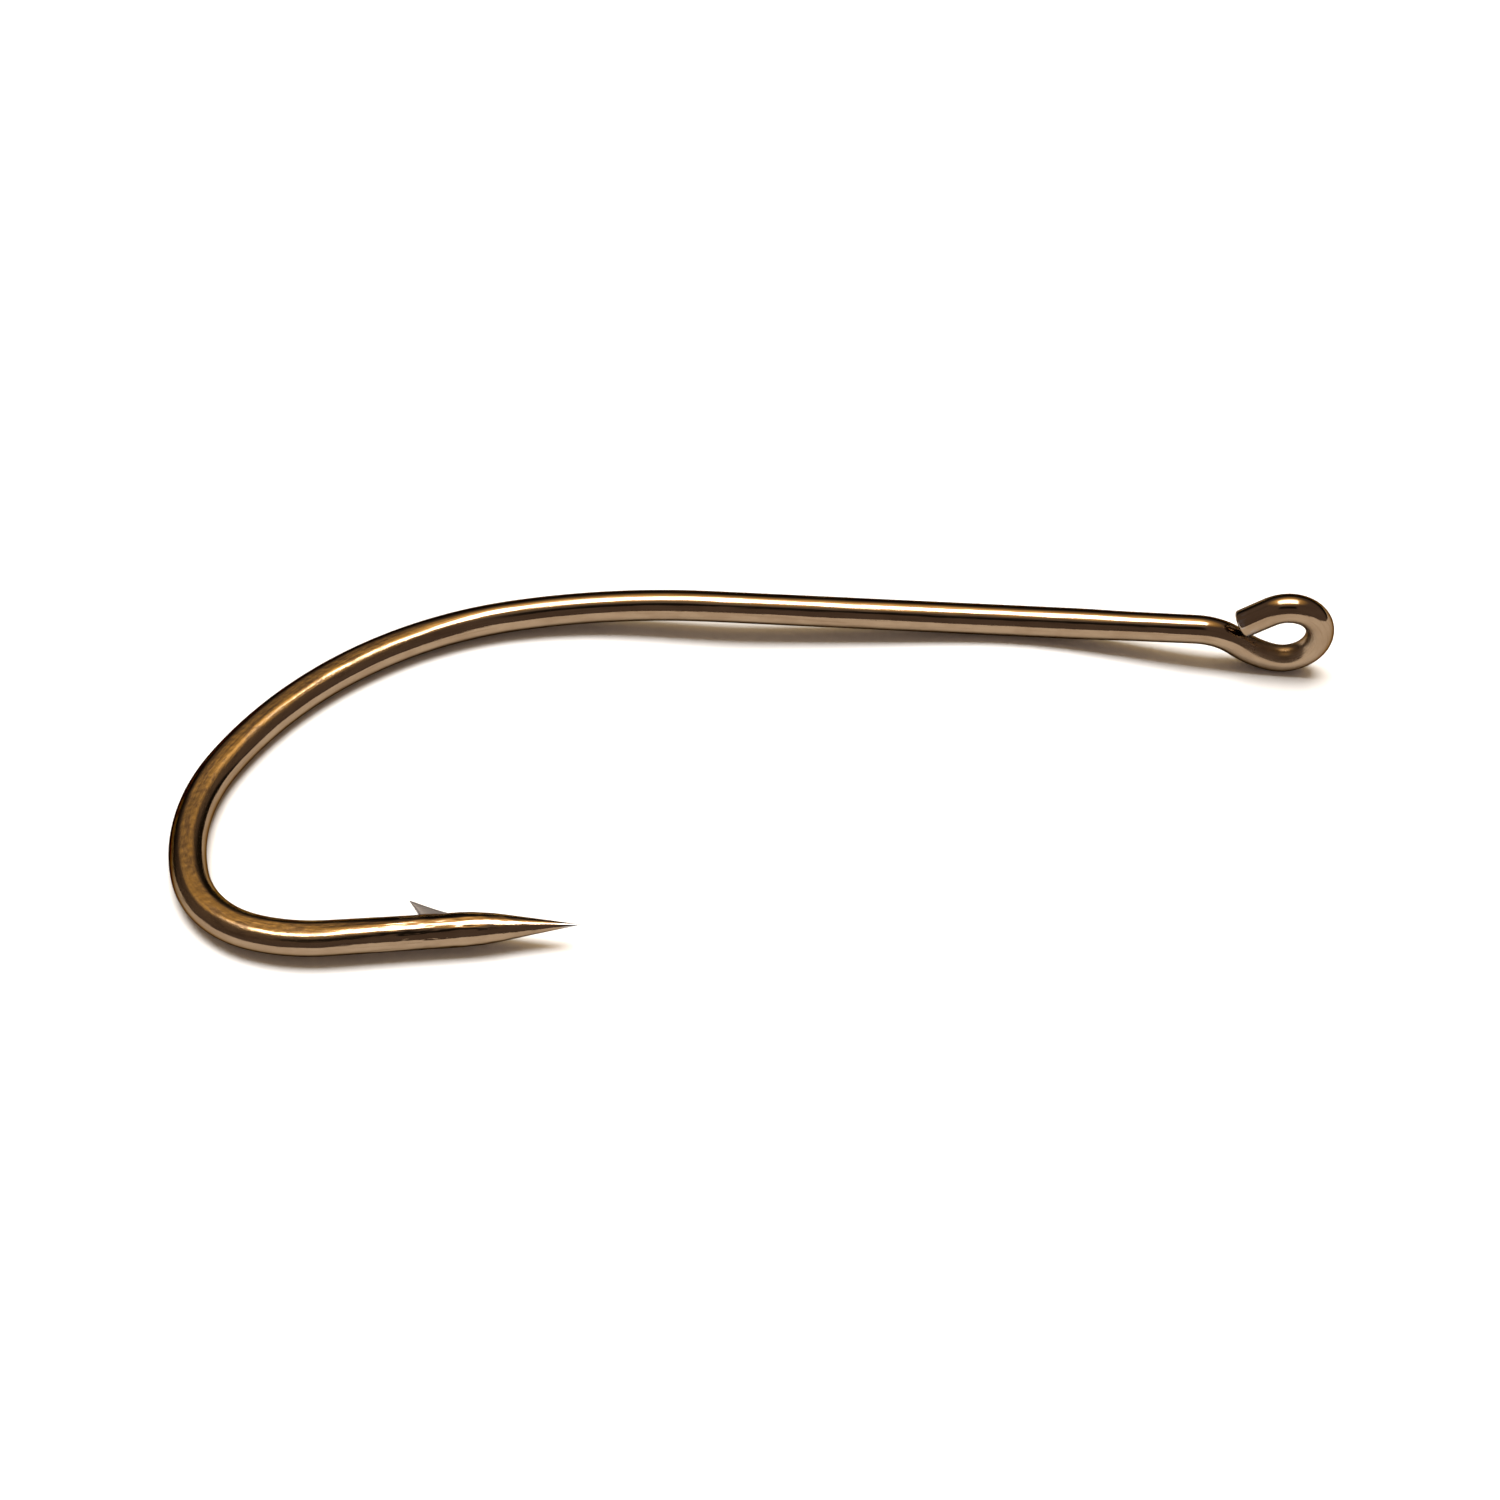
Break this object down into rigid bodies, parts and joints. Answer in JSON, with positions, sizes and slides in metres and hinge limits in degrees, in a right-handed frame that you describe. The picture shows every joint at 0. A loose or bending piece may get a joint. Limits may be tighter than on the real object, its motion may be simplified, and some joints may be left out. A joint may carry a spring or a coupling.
{
  "type": "single-point fishing hook",
  "caption": "Long-shank fishing hook of bent steel wire with a ringed eye square to the bend, a flat-forged bend and a barbed point.",
  "frame": {"origin": "centre of the eye's ring, on the shank's axis", "axes": "+X along the shank and out past the eye, away from the bend; the hook's plane is XY, with the point on the -Y side; +Z square to that plane, on the side where the eye's cut end closes; the hole through the eye runs along Y"},
  "size_m": [0.0387, 0.0171, 0.0034],
  "materials": {
    "bronzed_steel": "bronze-brown lacquer over bright carbon-steel wire, glossy on the round stretches and finely grained on the forged flats",
    "cut_steel": "grey steel where the barb's faces were cut, thinly lacquered"
  },
  "bodies": {
    "root": {"eye_ring": "bronzed_steel", "neck": "bronzed_steel", "shank": "bronzed_steel", "open_bend": "bronzed_steel", "heel": "bronzed_steel", "front_length": "bronzed_steel", "point": "bronzed_steel", "barb": "cut_steel"}
  },
  "joints": []
}
